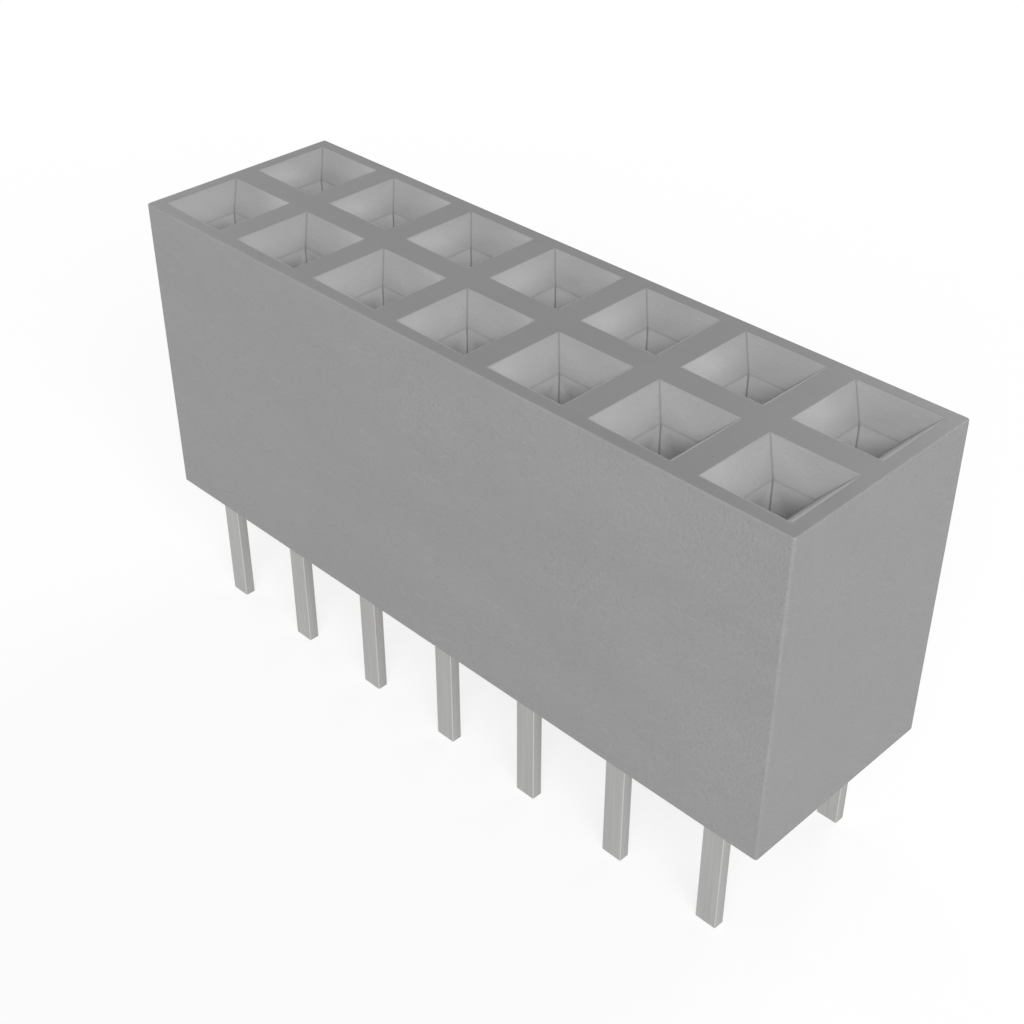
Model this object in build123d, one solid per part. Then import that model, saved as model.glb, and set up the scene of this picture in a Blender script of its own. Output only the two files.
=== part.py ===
from build123d import *
import os
from math import acos, atan2, cos, degrees, hypot, isclose, radians, sin

# A dual row socket strip for a circuit board: one moulded housing with two rows of square
# sockets, and in each socket one stamped contact whose solder tail leaves the underside.
# Millimetres. X runs along the strip, Y across it and Z up. The origin is the middle of the
# face that sits on the board, so the tails reach below zero.

# Layout of the sockets
positions = 7
pitch = 2.54
row_pitch = 2.54

# Mating pin that the sockets take, a square post
pin_size = 0.64
pin_clearance = 0.13

# Housing
body_height = 7.366
edge_radius = 0.06
mouth_land = 0.635
mouth_edge = 0.3175
funnel_depth = 0.508
guide_length = 1.016
cavity_wall = 0.762
assembly_chamfer = 0.1

# Contact strip, stamped and folded from sheet
stock = 0.254
bend_radius = 0.1
side_gap = 0.05
back_gap = 0.09

# Contact foot, the flat part that is pressed into the housing, with saw teeth on its edges
foot_rise = 0.25
barb_count = 2
barb_bite = 0.06
barb_height = 0.26
barb_margin = 0.14

# Contact channel, folded to a U above the foot
relief_height = 0.2
channel_height = 1.4

# Spring arms, which pinch the pin from both sides
arm_root_width = 0.76
arm_tip_width = 0.52
arm_root_radius = 0.1
arm_side_gap = 0.04
arm_rise = 0.05
arm_bend_radius = 0.7
pinch_gap = 0.4
pinch_depth = 2.45
pinch_radius = 0.5
flare_angle = 22
tip_gap = 0.1
tip_chamfer = 0.1

# Largest share of the flat beside it that a fillet may take up
fillet_limit = 0.9

# Solder tail
tail_width = 0.508
tail_length = 3.0
tail_corner = 0.1

# Worked out from the sizes above: the housing
mouth_x = pitch - mouth_land
mouth_y = row_pitch - mouth_land
cavity_x = pitch - cavity_wall
cavity_y = row_pitch - cavity_wall
body_length = (positions - 1) * pitch + mouth_x + 2 * mouth_edge
body_width = row_pitch + mouth_y + 2 * mouth_edge
guide_width = pin_size + 2 * pin_clearance
guide_top = body_height - funnel_depth
guide_bottom = guide_top - guide_length

# Worked out from the sizes above: the contact
foot_top = foot_rise + barb_count * (barb_height + barb_margin) + barb_margin
channel_bottom = foot_top + relief_height
channel_top = channel_bottom + channel_height
plate_outer_y = cavity_y / 2
plate_inner_y = plate_outer_y - stock
wing_x = cavity_x / 2 - side_gap - stock / 2
wing_end_y = back_gap - cavity_y / 2
foot_half = wing_x + stock / 2
neck_half = foot_half - bend_radius - stock
arm_slot = arm_root_width + 2 * (arm_root_radius + arm_side_gap)
arm_root_flat = plate_inner_y - bend_radius - arm_root_width / 2
arm_root_fillet = min(arm_root_radius, fillet_limit * arm_root_flat)
arm_root_z = channel_top + arm_root_radius + arm_rise
pinch_x = pinch_gap / 2 + pinch_radius
pinch_z = body_height - pinch_depth
tip_z = guide_bottom - tip_gap - stock / 2 * sin(radians(flare_angle))

# Sketch plane of the contact's flat plate, on the cavity's outer wall and looking inwards
plate_plane = Plane(origin=(0, plate_outer_y, 0), x_dir=(1, 0, 0), z_dir=(0, -1, 0))


def slab(width, depth, bottom, top):
    # Upright block on the socket's axis between two heights
    return Pos(0, 0, bottom) * Box(width, depth, top - bottom, align=(Align.CENTER, Align.CENTER, Align.MIN))


def hopper(narrow, wide, narrow_z, wide_z):
    # Four sided funnel on the socket's axis, from its width and depth at both ends
    side_x = (wide[0] - narrow[0]) / 2
    side_y = (wide[1] - narrow[1]) / 2
    wedge = Wedge(
        wide[0], abs(wide_z - narrow_z), wide[1], side_x, side_y, wide[0] - side_x, wide[1] - side_y,
        align=(Align.CENTER, Align.MIN, Align.CENTER),
    )
    return Pos(0, 0, wide_z) * Rot(90 if narrow_z > wide_z else -90, 0, 0) * wedge


def between(low_x, high_x, low_z, high_z):
    # Rectangle in the plate's sketch plane, from its limits
    return Pos((low_x + high_x) / 2, (low_z + high_z) / 2) * Rectangle(high_x - low_x, high_z - low_z)


def barbs():
    # Saw teeth on both edges of the foot: they slide in upwards and bite when pulled down
    teeth = Sketch()
    for step in range(barb_count):
        low = foot_rise + barb_margin + step * (barb_height + barb_margin)
        high = low + barb_height
        for side in (-1, 1):
            root = side * (foot_half - barb_bite)
            edge = side * foot_half
            point = side * (cavity_x / 2 + barb_bite)
            teeth += make_face(Polyline((root, low), (point, low), (edge, high), (root, high), close=True))
    return teeth


def socket_space():
    # Everything the housing leaves open around one pin, with the outer wall at +Y
    chamfered = (cavity_x + 2 * assembly_chamfer, cavity_y + 2 * assembly_chamfer)
    space = hopper((guide_width, guide_width), (mouth_x, mouth_y), guide_top, body_height)
    space += slab(guide_width, guide_width, guide_bottom, guide_top)
    space += slab(cavity_x, arm_slot, channel_top, guide_bottom)
    space += slab(cavity_x, cavity_y, 0, channel_top)
    space += hopper((cavity_x, cavity_y), chamfered, assembly_chamfer, 0)
    space += extrude(plate_plane * barbs(), stock)
    return space


def places():
    # Name and place of each socket: row a at -Y is the near one, row b at +Y the far one
    found = []
    for row, side, turn in (("a", -1, 180), ("b", 1, 0)):
        for index in range(positions):
            x = (index - (positions - 1) / 2) * pitch
            found.append((f"{row}{index + 1}", Pos(x, side * row_pitch / 2, 0) * Rot(0, 0, turn)))
    return found


def make_housing():
    block = slab(body_length, body_width, 0, body_height)
    block = fillet(block.edges().filter_by(Axis.Z), edge_radius)
    space = socket_space()
    return block - [place * space for name, place in places()]


def flat_plate():
    # Tail, foot, barbs and the neck that joins them to the channel, all in one plane
    outline = between(-tail_width / 2, tail_width / 2, -tail_length, foot_rise)
    outline += between(-foot_half, foot_half, foot_rise, foot_top)
    outline += between(-neck_half, neck_half, foot_top, channel_bottom)
    roots = [
        v for v in outline.vertices()
        if isclose(v.Y, foot_rise) and isclose(abs(v.X), tail_width / 2)
    ]
    return extrude(plate_plane * (fillet(roots, tail_corner) + barbs()), stock)


def channel():
    # U section folded from the plate: its back lies on the outer wall and its wings reach inwards
    back_y = plate_outer_y - stock / 2
    fold = FilletPolyline(
        (-wing_x, wing_end_y), (-wing_x, back_y), (wing_x, back_y), (wing_x, wing_end_y),
        radius=bend_radius + stock / 2,
    )
    return Pos(0, 0, channel_bottom) * extrude(trace(fold, stock), channel_height)


def arm_line():
    # Centre line of the arm at +X: it rises from the wing, leans in to the pinch and flares out
    root_radius = arm_bend_radius + stock / 2
    turn_radius = pinch_radius - stock / 2
    across = pinch_x - wing_x + root_radius
    up = pinch_z - arm_root_z
    lean = atan2(up, across) - acos((root_radius + turn_radius) / hypot(across, up))
    turn_start = (pinch_x - turn_radius * cos(lean), pinch_z - turn_radius * sin(lean))
    rise = Line((wing_x, channel_bottom), (wing_x, arm_root_z))
    bend = JernArc(start=rise @ 1, tangent=(0, 1), radius=root_radius, arc_size=degrees(lean))
    blade = Line(bend @ 1, turn_start)
    turn = JernArc(start=turn_start, tangent=blade % 1, radius=turn_radius, arc_size=-degrees(lean) - flare_angle)
    tip = PolarLine(turn @ 1, tip_z - (turn @ 1).Y, direction=turn % 1, length_mode=LengthMode.VERTICAL)
    return rise + bend + blade + turn + tip


def arm():
    # Strip bent along the centre line, cut to a blade that narrows towards its chamfered tip
    strip = extrude(Plane.XZ * trace(arm_line(), stock), arm_root_width, both=True)
    buried_z = (channel_bottom + channel_top) / 2
    outline = Polyline(
        (-arm_root_width / 2, buried_z), (arm_root_width / 2, buried_z), (arm_root_width / 2, channel_top),
        (arm_tip_width / 2, guide_bottom), (-arm_tip_width / 2, guide_bottom), (-arm_root_width / 2, channel_top),
        close=True,
    )
    blade = strip & extrude(Plane.YZ * make_face(outline), cavity_x / 2)
    corners = [e for e in blade.edges() if isclose(e.length, stock, abs_tol=1e-4) and e.center().Z > pinch_z]
    return chamfer(corners, tip_chamfer)


def make_contact():
    spring = arm()
    contact = flat_plate() + channel() + spring + mirror(spring, Plane.YZ)
    roots = [
        e for e in contact.edges().filter_by(Axis.X)
        if isclose(e.center().Z, channel_top) and isclose(abs(e.center().Y), arm_root_width / 2)
    ]
    return fillet(roots, arm_root_fillet)


os.makedirs("parts", exist_ok=True)
export_step(make_housing(), "parts/housing.step")
contact = make_contact()
for name, place in places():
    export_step(place * contact, f"parts/contact_{name}.step")
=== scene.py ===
import bpy, bmesh
import math
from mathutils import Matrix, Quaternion, Vector


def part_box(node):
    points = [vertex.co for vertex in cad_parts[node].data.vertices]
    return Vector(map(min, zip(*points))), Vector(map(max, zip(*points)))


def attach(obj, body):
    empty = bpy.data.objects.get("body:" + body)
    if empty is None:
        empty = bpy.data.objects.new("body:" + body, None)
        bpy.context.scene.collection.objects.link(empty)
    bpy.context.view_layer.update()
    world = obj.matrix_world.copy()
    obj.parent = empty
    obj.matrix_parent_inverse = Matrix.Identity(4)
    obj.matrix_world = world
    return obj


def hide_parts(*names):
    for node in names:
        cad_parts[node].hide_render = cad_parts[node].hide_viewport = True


mm = 0.001      # lengths in the dictionaries are in millimetres
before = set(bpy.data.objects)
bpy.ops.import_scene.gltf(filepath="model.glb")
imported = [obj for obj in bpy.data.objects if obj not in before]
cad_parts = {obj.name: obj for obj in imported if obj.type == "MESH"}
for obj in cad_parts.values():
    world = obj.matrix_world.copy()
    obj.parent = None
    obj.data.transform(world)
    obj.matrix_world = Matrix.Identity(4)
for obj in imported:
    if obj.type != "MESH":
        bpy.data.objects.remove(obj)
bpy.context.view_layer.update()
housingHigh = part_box("housing")[1]
contactLow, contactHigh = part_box("contact_b1")      # the flat plate of row b faces +Y
print("frame loaded,", len(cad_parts), "nodes")


# helpers for objects and node trees

def linkObject(name, data):
    piece = bpy.data.objects.new(name, data)
    bpy.context.scene.collection.objects.link(piece)
    return piece


def newMaterial(name):
    material = bpy.data.materials.new(name)
    material.use_nodes = True
    return material, material.node_tree


def add(tree, kind, inputs=None, **settings):
    # one node with its settings and its inputs, an input being a value or another node's output
    node = tree.nodes.new(kind)
    for key, value in settings.items():
        setattr(node, key, value)
    for key, value in (inputs or {}).items():
        if isinstance(value, bpy.types.NodeSocket):
            tree.links.new(value, node.inputs[key])
        else:
            node.inputs[key].default_value = value
    return node


def calc(tree, operation, a, b=0.0):
    return add(tree, "ShaderNodeMath", {0: a, 1: b}, operation=operation).outputs[0]


def product(tree, a, b):
    return calc(tree, "MULTIPLY", a, b)


def axes(tree, vector):
    return add(tree, "ShaderNodeSeparateXYZ", {0: vector}).outputs


def ramp(tree, value, low, high, toLow=0.0, toHigh=1.0):
    # smooth step from toLow, where the value is low, to toHigh
    node = add(tree, "ShaderNodeMapRange",
               {"Value": value, "From Min": low, "From Max": high, "To Min": toLow, "To Max": toHigh},
               interpolation_type="SMOOTHSTEP")
    return node.outputs["Result"]


def between(tree, factor, a, b):
    # a where the factor is 0 and b where it is 1
    return add(tree, "ShaderNodeMapRange", {"Value": factor, "To Min": a, "To Max": b}).outputs["Result"]


def inward(tree, along, face, band):
    # 0 near the faces on both sides and 1 further in, with the change over a band of depths
    near, far = band
    return ramp(tree, calc(tree, "ABSOLUTE", along), face - near * mm, face - far * mm)


def noise(tree, coords, grain, detail, rough):
    # noise whose grains are about this long on each axis
    scale = tuple(1 / (mm * size) for size in grain)
    scaled = add(tree, "ShaderNodeMapping", {"Vector": coords, "Scale": scale})
    node = add(tree, "ShaderNodeTexNoise",
               {"Vector": scaled.outputs[0], "Scale": 1.0, "Detail": detail, "Roughness": rough})
    return node.outputs["Fac"]


def blendColor(tree, factor, a, b):
    return add(tree, "ShaderNodeMix", {0: factor, 6: a, 7: b}, data_type="RGBA").outputs[2]


def scaleColor(tree, color, share):
    return add(tree, "ShaderNodeVectorMath", {0: color, "Scale": share}, operation="SCALE").outputs[0]


def bump(tree, height, depth, under=None, **settings):
    # relief of this depth, on top of the relief that is under it
    inputs = {"Height": height, "Distance": depth}
    if under:
        inputs["Normal"] = under
    return add(tree, "ShaderNodeBump", inputs, **settings).outputs[0]


# moulded housing

housingFinish = {
    "tone": (0.252, 0.252, 0.252, 1),
    "paleTone": (0.300, 0.300, 0.300, 1),   # glass fibres, and worn corners with their painted highlight
    "darkTone": (0.232, 0.232, 0.232, 1),   # flow marks, and painted shade at the bottoms of spark pits
    "topShadeShare": 0.67,                    # painted shade: the lapped top face darker than the spark eroded sides
    "coredLightShare": 1.22,                     # painted light: the cored funnels and holes lighter than the sides
    "throatLightShare": 1.75,                    # painted light in the deep square guides
    "cornerShare": 0.86,                    # shade in the inner corners of the sockets
    "cornerWidth": 0.045,
    "pitch": 2.54,
    "skinBand": (0.09, 0.19),               # depth at which the outside's finish ends
    "topBand": (0.066, 0.016),              # depth below the top face at which it turns to lapped
    "throatBand": (0.516, 0.556),           # depth below the top face at which the guides start
    "squareBand": (0.90, 0.99),             # how squarely a face looks along an axis
    "steepBand": (0.97, 0.90),              # the same for faces that don't look up or down
    "roughness": (0.50, 0.64),
    "lappedRoughness": 0.44,
    "spark": ((0.07, 0.07, 0.07), 2.0, 0.6),    # grain on each axis, detail and roughness of the noise
    "sparkDepth": 0.026,
    "coredDepth": 0.007,
    "lappedDepth": 0.001,
    "pitShadeBand": (0.45, 0.25),
    "lapLines": ((2.4, 0.02, 0.02), 2.0, 0.5),
    "lapDepth": 0.0015,
    "flow": ((4.6, 1.5, 1.3), 3.0, 0.55),
    "flowBand": (0.3, 0.7),
    "fibre": ((0.40, 0.026, 0.026), 3.0, 0.6),
    "fibreBand": (0.56, 0.80),
    "fibreShare": 0.8,
    "sinkDepth": 0.008,                     # a faint hollow outside each web between two sockets
    "sinkWave": (-0.2, 1.0),
    "longSinkEnds": (0.59, 1.19),           # from the ends of the long side, where the hollows fade out
    "shortSinkEnds": (1.14, 1.64),
    "edge": 0.034,
    "edgeSegments": 3,
    "wearHighlightEdge": 0.07,
    "wearHighlightSamples": 6,
    "wearHighlightBand": (0.92, 0.45),
    "wearHighlightGrain": (0.3, 0.6),
    "wearHighlightPatches": (0.4, 1.0),
    "wearHighlightShare": 0.75,
    "wornPolish": 0.12,
}


def housingZones(tree, values, place, facing):
    # where each finish of the mould lies, and where painted shade and light go: lapped top, cored
    # insides and their throats
    topStart, topEnd = (housingHigh.z - depth * mm for depth in values["topBand"])
    throatStart, throatEnd = (housingHigh.z - depth * mm for depth in values["throatBand"])
    insideX = inward(tree, place["X"], housingHigh.x, values["skinBand"])
    insideY = inward(tree, place["Y"], housingHigh.y, values["skinBand"])
    within = product(tree, insideX, insideY)
    level = ramp(tree, facing["Z"], *values["squareBand"])
    lapped = product(tree, level, ramp(tree, place["Z"], topStart, topEnd))
    cored = product(tree, within, ramp(tree, facing["Z"], *values["steepBand"]))
    throat = product(tree, cored, ramp(tree, place["Z"], throatStart, throatEnd))
    return {"within": within, "lapped": lapped, "cored": cored, "throat": throat}


def housingTextures(tree, values, coords):
    return {
        "flow": noise(tree, coords, *values["flow"]),
        "fibres": noise(tree, coords, *values["fibre"]),
        "grain": noise(tree, coords, *values["spark"]),
        "laps": noise(tree, coords, *values["lapLines"]),
    }


def wearAndHighlightCorners(tree, values, grain):
    # outer corners wear smooth and pale, with a painted highlight along them, and there the wall's far
    # side is near to its inside
    wall = add(tree, "ShaderNodeAmbientOcclusion", {"Distance": values["wearHighlightEdge"] * mm},
               samples=values["wearHighlightSamples"], inside=True, only_local=True).outputs["AO"]
    patches = ramp(tree, grain, *values["wearHighlightGrain"], *values["wearHighlightPatches"])
    return product(tree, ramp(tree, wall, *values["wearHighlightBand"]), patches)


def socketCorners(tree, values, place, cored):
    # the four inner corners of every socket lie on its diagonals
    half = values["pitch"] / 2 * mm
    acrossX = calc(tree, "PINGPONG", place["X"], half)
    acrossY = calc(tree, "PINGPONG", calc(tree, "ADD", place["Y"], half), half)
    aside = calc(tree, "ABSOLUTE", calc(tree, "SUBTRACT", acrossX, acrossY))
    return product(tree, ramp(tree, aside, values["cornerWidth"] * mm, 0.0), cored)


def housingTone(tree, values, place, zones, textures, wearAndHighlight):
    flow = ramp(tree, textures["flow"], *values["flowBand"])
    fibres = ramp(tree, textures["fibres"], *values["fibreBand"], 0.0, values["fibreShare"])
    # painted shade where the spark pits are deepest
    pitShade = ramp(tree, textures["grain"], *values["pitShadeBand"])
    tone = blendColor(tree, flow, values["darkTone"], values["tone"])
    tone = blendColor(tree, fibres, tone, values["paleTone"])
    tone = blendColor(tree, pitShade, tone, values["darkTone"])
    # worn outer corners turn pale: partly wear, partly a painted highlight
    tone = blendColor(tree, product(tree, wearAndHighlight, values["wearHighlightShare"]), tone, values["paleTone"])

    # painted shade darkens the top face and the sockets' inner corners, painted light brightens the
    # funnels, holes and guides
    corner = socketCorners(tree, values, place, zones["cored"])
    share = between(tree, zones["lapped"], 1.0, values["topShadeShare"])
    share = between(tree, zones["cored"], share, values["coredLightShare"])
    share = between(tree, zones["throat"], share, values["throatLightShare"])
    share = between(tree, corner, share, values["cornerShare"])
    return scaleColor(tree, tone, share)


def sinkHollows(tree, values, along, face, ends, phase):
    # 1 on the line opposite each web, falling to 0 well before the next one, and 0 near the ends
    wave = calc(tree, "COSINE", product(tree, along, 2 * math.pi / (values["pitch"] * mm)))
    wave = ramp(tree, product(tree, wave, phase), *values["sinkWave"])
    return product(tree, wave, inward(tree, along, face, values[ends]))


def housingRelief(tree, values, place, facing, zones, textures):
    # sink hollows on the outer walls, spark pits all over, lap lines on the top
    longSide = sinkHollows(tree, values, place["X"], housingHigh.x, "longSinkEnds", -1)
    shortSide = sinkHollows(tree, values, place["Y"], housingHigh.y, "shortSinkEnds", 1)
    longSide = product(tree, longSide, ramp(tree, facing["Y"], *values["squareBand"]))
    shortSide = product(tree, shortSide, ramp(tree, facing["X"], *values["squareBand"]))
    outer = calc(tree, "SUBTRACT", 1.0, zones["within"])
    hollow = product(tree, calc(tree, "ADD", longSide, shortSide), outer)
    sparkDepth = between(tree, zones["cored"], values["sparkDepth"] * mm, values["coredDepth"] * mm)
    sparkDepth = between(tree, zones["lapped"], sparkDepth, values["lappedDepth"] * mm)
    lapDepth = product(tree, zones["lapped"], values["lapDepth"] * mm)
    sunk = bump(tree, hollow, values["sinkDepth"] * mm, invert=True)
    pitted = bump(tree, textures["grain"], sparkDepth, sunk)
    return bump(tree, textures["laps"], lapDepth, pitted)


def makeHousingMaterial(values):
    material, tree = newMaterial("mouldedHousing")
    shader = tree.nodes["Principled BSDF"]
    coords = add(tree, "ShaderNodeTexCoord").outputs["Object"]
    place = axes(tree, coords)
    normal = axes(tree, add(tree, "ShaderNodeNewGeometry").outputs["True Normal"])
    facing = {axis: calc(tree, "ABSOLUTE", normal[axis]) for axis in "XYZ"}
    zones = housingZones(tree, values, place, facing)
    textures = housingTextures(tree, values, coords)
    wearAndHighlight = wearAndHighlightCorners(tree, values, textures["grain"])
    tone = housingTone(tree, values, place, zones, textures, wearAndHighlight)
    tree.links.new(tone, shader.inputs["Base Color"])
    rough = ramp(tree, textures["flow"], *values["flowBand"], *values["roughness"])
    rough = between(tree, zones["lapped"], rough, values["lappedRoughness"])
    rough = calc(tree, "SUBTRACT", rough, product(tree, wearAndHighlight, values["wornPolish"]))
    tree.links.new(rough, shader.inputs["Roughness"])
    relief = housingRelief(tree, values, place, facing, zones, textures)
    tree.links.new(relief, shader.inputs["Normal"])
    return material


# stamped contacts

contactFinish = {
    "tin": (0.440, 0.438, 0.433, 1),
    "dullTin": (0.392, 0.390, 0.384, 1),
    "gold": (0.80, 0.60, 0.27, 1),
    "goldFrom": 4.15,                       # height above the board at which the gold starts
    "goldFade": 0.12,
    "goldWaver": 0.15,
    "bareCopper": (0.60, 0.37, 0.23, 1),
    "copperBand": (0.008, 0.002),           # height above the tail's end
    "burnishedGlint": (0.62, 0.62, 0.61, 1),     # the rounded corners of the tail, burnished, with a painted glint along them
    "cornerFrom": (0.2, 0.4),               # how far the rounded corners turn towards the cut edges
    "cornerTo": (0.97, 0.90),
    "cutShadeShare": 0.97,                       # cut edges darker than the rolled faces: partly their own duller tone, partly painted shade that sets the sides apart
    "cutBand": (0.8, 0.99),
    "cutUpTo": (1.3, 1.1),                  # above this, faces along X are the folded wings
    "torn": (0.425, 0.420, 0.410, 1),
    "tornBand": (0.56, 0.46),               # share of the sheet that tore, from its inner face
    "tornWaver": 0.4,
    "sheet": 0.254,
    "roughness": (0.26, 0.38),
    "roughBand": (0.25, 0.75),
    "tornRoughness": 0.55,
    "grain": ((0.025, 0.025, 0.025), 3.0, 0.6),     # noises are given as for the housing
    "grainDepth": 0.0009,
    "streaks": ((0.10, 0.10, 3.0), 3.0, 0.6),
    "streakBand": (0.3, 0.7),
    "drawLines": ((0.018, 0.018, 1.2), 3.0, 0.55),
    "drawBand": (0.5, 0.8),
    "drawShare": 0.4,
    "drawDepth": 0.0012,
    "edge": 0.016,
    "edgeSegments": 2,
}


def cutEdges(tree, values, place, sideways, grain):
    # masks of the tail's cut edges, of their torn part and of the tail's rounded corners, where a glint
    # is painted
    below = ramp(tree, place["Z"], *(height * mm for height in values["cutUpTo"]))
    cutEdge = product(tree, ramp(tree, sideways, *values["cutBand"]), below)
    inner = contactHigh.y - values["sheet"] * mm
    depth = calc(tree, "SUBTRACT", calc(tree, "ABSOLUTE", place["Y"]), inner)
    depth = calc(tree, "DIVIDE", depth, values["sheet"] * mm)
    waver = product(tree, calc(tree, "SUBTRACT", grain, 0.5), values["tornWaver"])
    torn = product(tree, ramp(tree, calc(tree, "ADD", depth, waver), *values["tornBand"]), cutEdge)
    fromFlat = ramp(tree, sideways, *values["cornerFrom"])
    corner = product(tree, fromFlat, ramp(tree, sideways, *values["cornerTo"]))
    return cutEdge, torn, product(tree, corner, below)


def makeContactMaterial(values):
    material, tree = newMaterial("platedContact")
    shader = tree.nodes["Principled BSDF"]
    coords = add(tree, "ShaderNodeTexCoord").outputs["Object"]
    place = axes(tree, coords)
    normal = axes(tree, add(tree, "ShaderNodeNewGeometry").outputs["True Normal"])
    sideways = calc(tree, "ABSOLUTE", normal["X"])
    grain = noise(tree, coords, *values["grain"])
    lines = noise(tree, coords, *values["drawLines"])
    patches = noise(tree, coords, *values["streaks"])
    cutEdge, torn, corner = cutEdges(tree, values, place, sideways, grain)

    tone = blendColor(tree, ramp(tree, patches, *values["streakBand"]), values["dullTin"], values["tin"])
    drawn = ramp(tree, lines, *values["drawBand"], 0.0, values["drawShare"])
    tone = blendColor(tree, drawn, tone, values["dullTin"])
    # painted shade on the cut side faces, partly their own duller tone
    tone = scaleColor(tree, tone, between(tree, cutEdge, 1.0, values["cutShadeShare"]))
    tone = blendColor(tree, torn, tone, values["torn"])
    # painted glint on the tail's rounded corners, partly their real burnish
    tone = blendColor(tree, corner, tone, values["burnishedGlint"])

    # gold where the arms touch the pin, bare strip where the tail was cut off
    level = calc(tree, "ADD", place["Z"], product(tree, patches, values["goldWaver"] * mm))
    goldStart = values["goldFrom"] * mm
    gold = ramp(tree, level, goldStart, goldStart + values["goldFade"] * mm)
    tone = blendColor(tree, gold, tone, values["gold"])
    copper = ramp(tree, place["Z"], *(contactLow.z + above * mm for above in values["copperBand"]))
    tone = blendColor(tree, copper, tone, values["bareCopper"])
    tree.links.new(tone, shader.inputs["Base Color"])

    shader.inputs["Metallic"].default_value = 1.0
    rough = ramp(tree, patches, *values["roughBand"], *values["roughness"])
    rough = between(tree, torn, rough, values["tornRoughness"])
    tree.links.new(rough, shader.inputs["Roughness"])
    fine = bump(tree, grain, values["grainDepth"] * mm)
    relief = bump(tree, lines, values["drawDepth"] * mm, fine)
    tree.links.new(relief, shader.inputs["Normal"])
    return material


# meshes of the housing and the contacts

meshValues = {
    "mergeDistance": 0.00001,
    "flatAngle": 0.5,           # degrees up to which neighbouring triangles make one face
    "crispAngle": 38,           # degrees from which an edge is crisp
    "faceWeight": 80,
}


def softenEdges(node, values, material):
    # copy of a CAD node with its triangles joined to flat faces and its outer crisp edges rounded
    mesh = bmesh.new()
    mesh.from_mesh(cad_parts[node].data)
    bmesh.ops.remove_doubles(mesh, verts=mesh.verts, dist=meshValues["mergeDistance"] * mm)
    flatAngle, crispAngle = (math.radians(meshValues[key]) for key in ("flatAngle", "crispAngle"))
    bmesh.ops.dissolve_limit(mesh, angle_limit=flatAngle, verts=mesh.verts, edges=mesh.edges)
    crisp = [e for e in mesh.edges if len(e.link_faces) == 2 and e.calc_face_angle() > crispAngle]
    corners = [e for e in crisp if e.is_convex]
    for edge in crisp:
        edge.smooth = edge.is_convex        # inner corners stay sharp
    bmesh.ops.bevel(mesh, geom=corners, offset=values["edge"] * mm, offset_type="OFFSET", affect="EDGES",
                    segments=values["edgeSegments"], profile=0.5, clamp_overlap=True, material=-1)
    for face in mesh.faces:
        face.smooth = True
    data = bpy.data.meshes.new(node + "Dressed")
    mesh.to_mesh(data)
    mesh.free()
    data.materials.append(material)
    piece = linkObject(node + "_dressed", data)
    weighted = piece.modifiers.new("flatFaces", "WEIGHTED_NORMAL")
    weighted.weight = meshValues["faceWeight"]
    weighted.keep_sharp = True
    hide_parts(node)
    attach(piece, "root")


housingMaterial = makeHousingMaterial(housingFinish)
contactMaterial = makeContactMaterial(contactFinish)
for node in sorted(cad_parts):
    if node == "housing":
        softenEdges(node, housingFinish, housingMaterial)
    else:
        softenEdges(node, contactFinish, contactMaterial)
print("housing and contacts dressed")


# floor, world, lamps and camera

stageValues = {
    "floorSize": 400.0,
    "floorColor": (0.93, 0.93, 0.93, 1),
    "white": (1, 1, 1, 1),
    "whiteShare": 0.75,         # of the floor near the strip, where the shadow shows
    "whiteBand": (18.0, 45.0),  # distance over which the floor turns plain white
    "worldStrength": 0.34,
}

lampValues = {
    "distance": 160,
    "aimHeight": 3,
    "panel": (120, 70),
    "lamps": [
        # name, azimuth and elevation in degrees, watts
        ("keyPanel", 50, 37, 0.213),
        ("frontPanel", 5, 15, 0.024),
        ("leftPanel", -95, 12, 0.10),
        ("backPanel", 180, 25, 0.12),
    ],
}

cameraValues = {
    "eye": (20.512, -20.435, 22.616),
    "aim": (3.143, -3.141, 5.317),
    "roll": -0.08,
    "lens": 57.47,
    "sensor": 36,
    "sight": (1, 2000),
}


def seenDirectly(tree):
    # 1 for rays from the camera and for mirror and glass rays, 0 for the light that falls on the object
    path = add(tree, "ShaderNodeLightPath")
    either = calc(tree, "MAXIMUM", path.outputs["Is Camera Ray"], path.outputs["Is Glossy Ray"])
    return calc(tree, "MAXIMUM", either, path.outputs["Is Transmission Ray"])


def makeFloorMaterial(values):
    material, tree = newMaterial("paleFloor")
    tree.nodes.clear()
    matt = add(tree, "ShaderNodeBsdfDiffuse", {"Color": values["floorColor"]})
    white = add(tree, "ShaderNodeEmission", {"Color": values["white"], "Strength": 1.0})
    # the shadow shows near the strip, and the floor turns plain white further out
    coords = add(tree, "ShaderNodeTexCoord").outputs["Object"]
    away = add(tree, "ShaderNodeVectorMath", {0: coords}, operation="LENGTH").outputs["Value"]
    near, far = (distance * mm for distance in values["whiteBand"])
    share = ramp(tree, away, near, far, values["whiteShare"], 1.0)
    share = product(tree, seenDirectly(tree), share)
    mixed = add(tree, "ShaderNodeMixShader", {0: share, 1: matt.outputs[0], 2: white.outputs[0]})
    # clear from below, so that the underside of the strip can be looked at
    clear = add(tree, "ShaderNodeBsdfTransparent")
    side = add(tree, "ShaderNodeNewGeometry").outputs["Backfacing"]
    sided = add(tree, "ShaderNodeMixShader", {0: side, 1: mixed.outputs[0], 2: clear.outputs[0]})
    add(tree, "ShaderNodeOutputMaterial", {"Surface": sided.outputs[0]})
    return material


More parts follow.
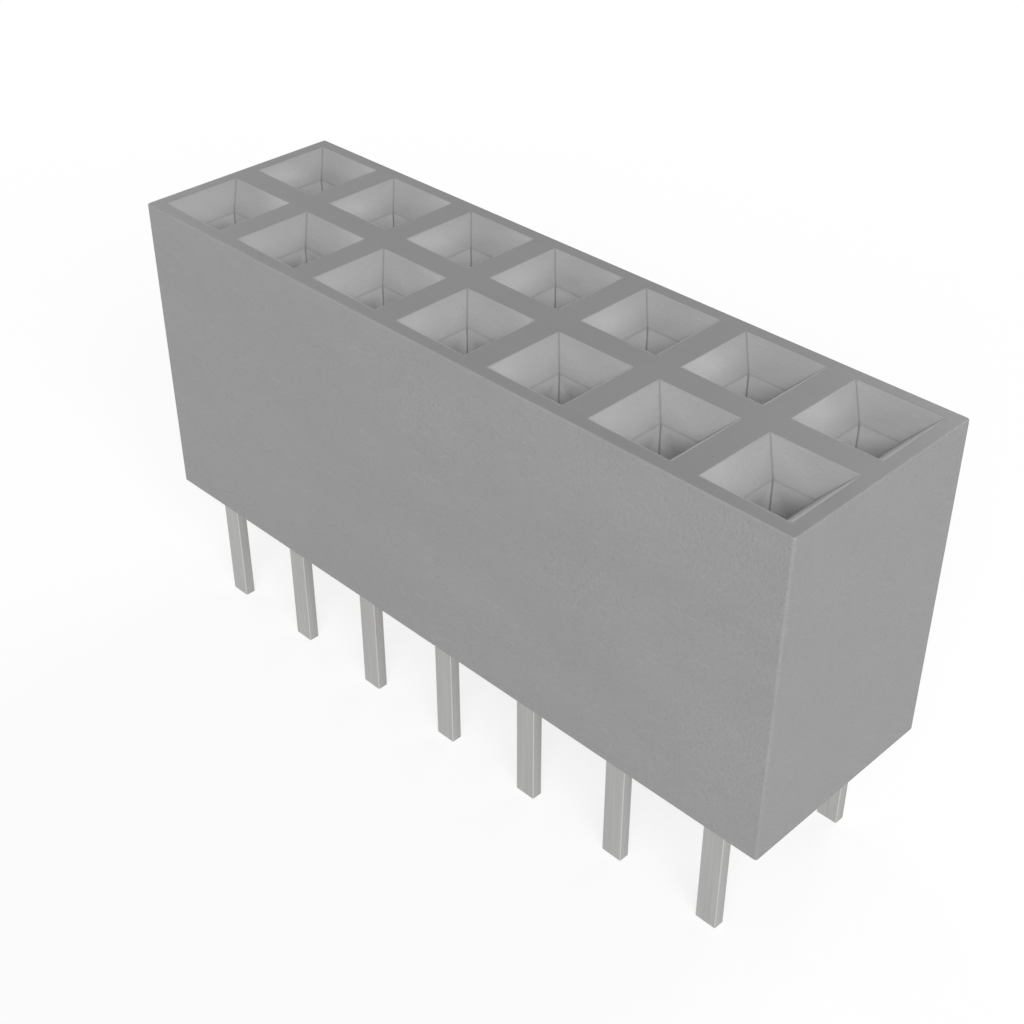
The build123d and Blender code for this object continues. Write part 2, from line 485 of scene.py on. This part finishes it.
def makeFloor(values):
    # the strip stands on it with the ends of its tails
    mesh = bmesh.new()
    bmesh.ops.create_grid(mesh, x_segments=1, y_segments=1, size=values["floorSize"] / 2 * mm)
    bmesh.ops.translate(mesh, verts=mesh.verts, vec=(0, 0, contactLow.z))
    data = bpy.data.meshes.new("floor")
    mesh.to_mesh(data)
    mesh.free()
    data.materials.append(makeFloorMaterial(values))
    linkObject("floor", data)


def makeWorld(values):
    world = bpy.data.worlds.new("studio")
    bpy.context.scene.world = world
    world.use_nodes = True
    tree = world.node_tree
    background = tree.nodes["Background"]
    background.inputs["Color"].default_value = values["white"]
    strength = ramp(tree, seenDirectly(tree), 0.0, 1.0, values["worldStrength"], 1.0)
    tree.links.new(strength, background.inputs["Strength"])


def makeLamps(values):
    centre = Vector((0, 0, values["aimHeight"] * mm))
    for name, azimuth, elevation, watts in values["lamps"]:
        a, e = math.radians(azimuth), math.radians(elevation)
        back = Vector((math.sin(a) * math.cos(e), -math.cos(a) * math.cos(e), math.sin(e)))
        data = bpy.data.lights.new(name, "AREA")
        data.shape = "RECTANGLE"
        data.size, data.size_y = (side * mm for side in values["panel"])
        data.energy = watts
        lamp = linkObject(name, data)
        lamp.location = centre + back * values["distance"] * mm
        lamp.rotation_euler = (-back).to_track_quat("-Z", "Y").to_euler()


def makeCamera(values):
    data = bpy.data.cameras.new("camera")
    data.sensor_width = values["sensor"]
    data.lens = values["lens"]
    data.clip_start, data.clip_end = (distance * mm for distance in values["sight"])
    camera = linkObject("camera", data)
    eye, aim = Vector(values["eye"]) * mm, Vector(values["aim"]) * mm
    turn = Quaternion((0, 0, 1), math.radians(values["roll"]))
    camera.rotation_mode = "QUATERNION"
    camera.location = eye
    camera.rotation_quaternion = (aim - eye).to_track_quat("-Z", "Y") @ turn
    bpy.context.scene.camera = camera


makeFloor(stageValues)
makeWorld(stageValues)
makeLamps(lampValues)
makeCamera(cameraValues)
bpy.context.scene.view_settings.view_transform = "Standard"
print("stage, lamps and camera set")
